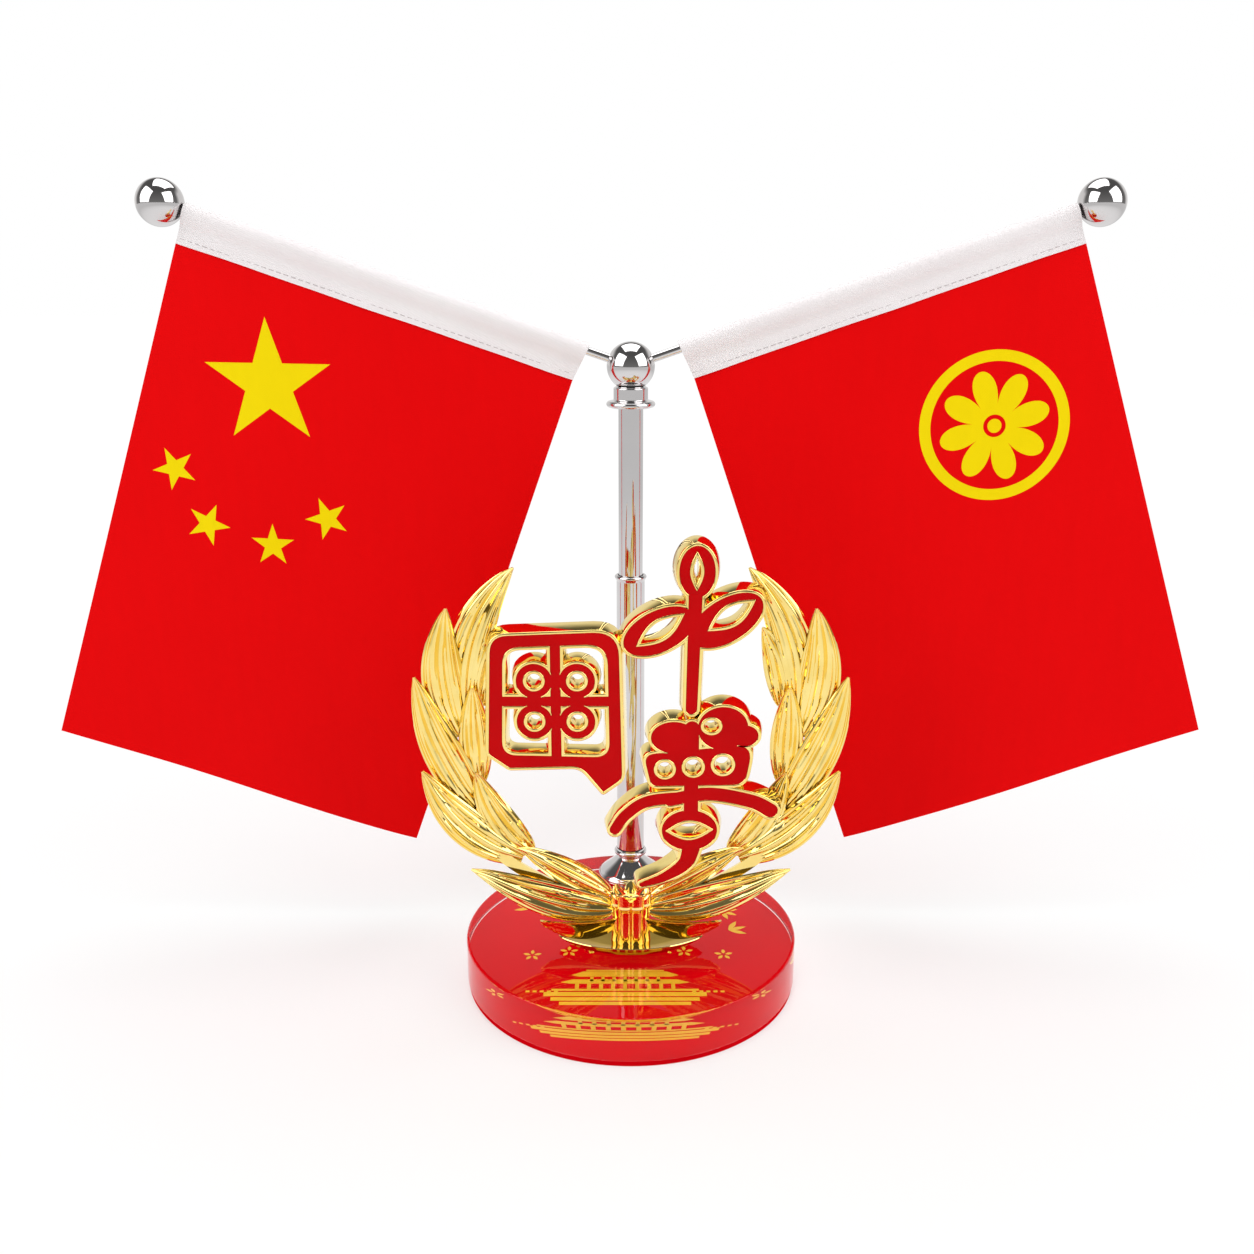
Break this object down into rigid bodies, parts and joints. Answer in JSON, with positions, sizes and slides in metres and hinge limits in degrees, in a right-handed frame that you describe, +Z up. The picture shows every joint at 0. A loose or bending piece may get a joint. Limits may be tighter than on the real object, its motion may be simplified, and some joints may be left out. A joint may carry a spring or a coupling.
{
  "type": "desk flag stand",
  "caption": "Desk stand with a clear disc base, a telescopic pole, a ball hub, rods that carry hanging flags, and a leaf wreath with an enamelled openwork ornament.",
  "frame": {"origin": "centre of the base's underside", "axes": "+X to the viewer's right along the spread of the flags, +Y from the front to the back, +Z up the pole"},
  "size_m": [0.4318, 0.1174, 0.2752],
  "materials": {
    "clear_acrylic": "polished clear acrylic",
    "printed_film": "red film with gold printing",
    "dark_foam": "matt foam rubber",
    "zinc_steel": "zinc plated",
    "chrome": "polished",
    "black_plastic": "moulded",
    "white_tape": "woven tape",
    "red_cloth": "fine woven polyester",
    "gold_plate": "bright gold plate",
    "red_enamel": "glossy enamel"
  },
  "bodies": {
    "stand": {"base_disc": "clear_acrylic", "base_print": "printed_film", "base_mat": "dark_foam", "pole_screw": "zinc_steel", "pole_washer": "zinc_steel", "pole_foot": "chrome", "lower_tube": "chrome", "wreath_foot": "gold_plate", "wreath_band": "gold_plate", "wreath_branch_left": "gold_plate", "wreath_branch_right": "gold_plate", "wreath_low_leaf_left": "gold_plate", "wreath_low_leaf_right": "gold_plate", "lattice_casting": "gold_plate", "lattice_enamel": "red_enamel", "bud_casting": "gold_plate", "bud_enamel": "red_enamel", "cloud_casting": "gold_plate", "cloud_enamel": "red_enamel"},
    "mast": {"upper_tube": "chrome", "tube_plug": "black_plastic", "hub_collar": "chrome", "hub_stud": "zinc_steel"},
    "head": {"hub_ball": "chrome", "rod_left": "chrome", "rod_right": "chrome"},
    "left_flag": {"flag_sleeve_left": "white_tape", "flag_panel_left": "red_cloth"},
    "right_flag": {"flag_sleeve_right": "white_tape", "flag_panel_right": "red_cloth"},
    "left_nut": {"finial_left": "chrome"},
    "right_nut": {"finial_right": "chrome"}
  },
  "joints": [
    {"name": "pole_slide", "type": "slide", "parent": "stand", "child": "mast", "axis": [0, 0, 1], "range_m": [-0.025, 0.055]},
    {"name": "head_swivel", "type": "hinge", "parent": "mast", "child": "head", "pos_m": [0, 0.0425, 0.2127], "axis": [0, 0, 1], "range_deg": [-18, 18]},
    {"name": "flag_left_swing", "type": "hinge", "parent": "head", "child": "left_flag", "pos_m": [0, 0.0425, 0.2127], "axis": [0.9464, 0, -0.3231], "range_deg": [-7, 70]},
    {"name": "flag_right_swing", "type": "hinge", "parent": "head", "child": "right_flag", "pos_m": [0, 0.0425, 0.2127], "axis": [0.9464, 0, 0.3231], "range_deg": [-7, 70]},
    {"name": "finial_left_turn", "type": "hinge", "parent": "head", "child": "left_nut", "pos_m": [0, 0.0425, 0.2127], "axis": [-0.9464, 0, 0.3231], "continuous": true},
    {"name": "finial_right_turn", "type": "hinge", "parent": "head", "child": "right_nut", "pos_m": [0, 0.0425, 0.2127], "axis": [0.9464, 0, 0.3231], "continuous": true}
  ]
}
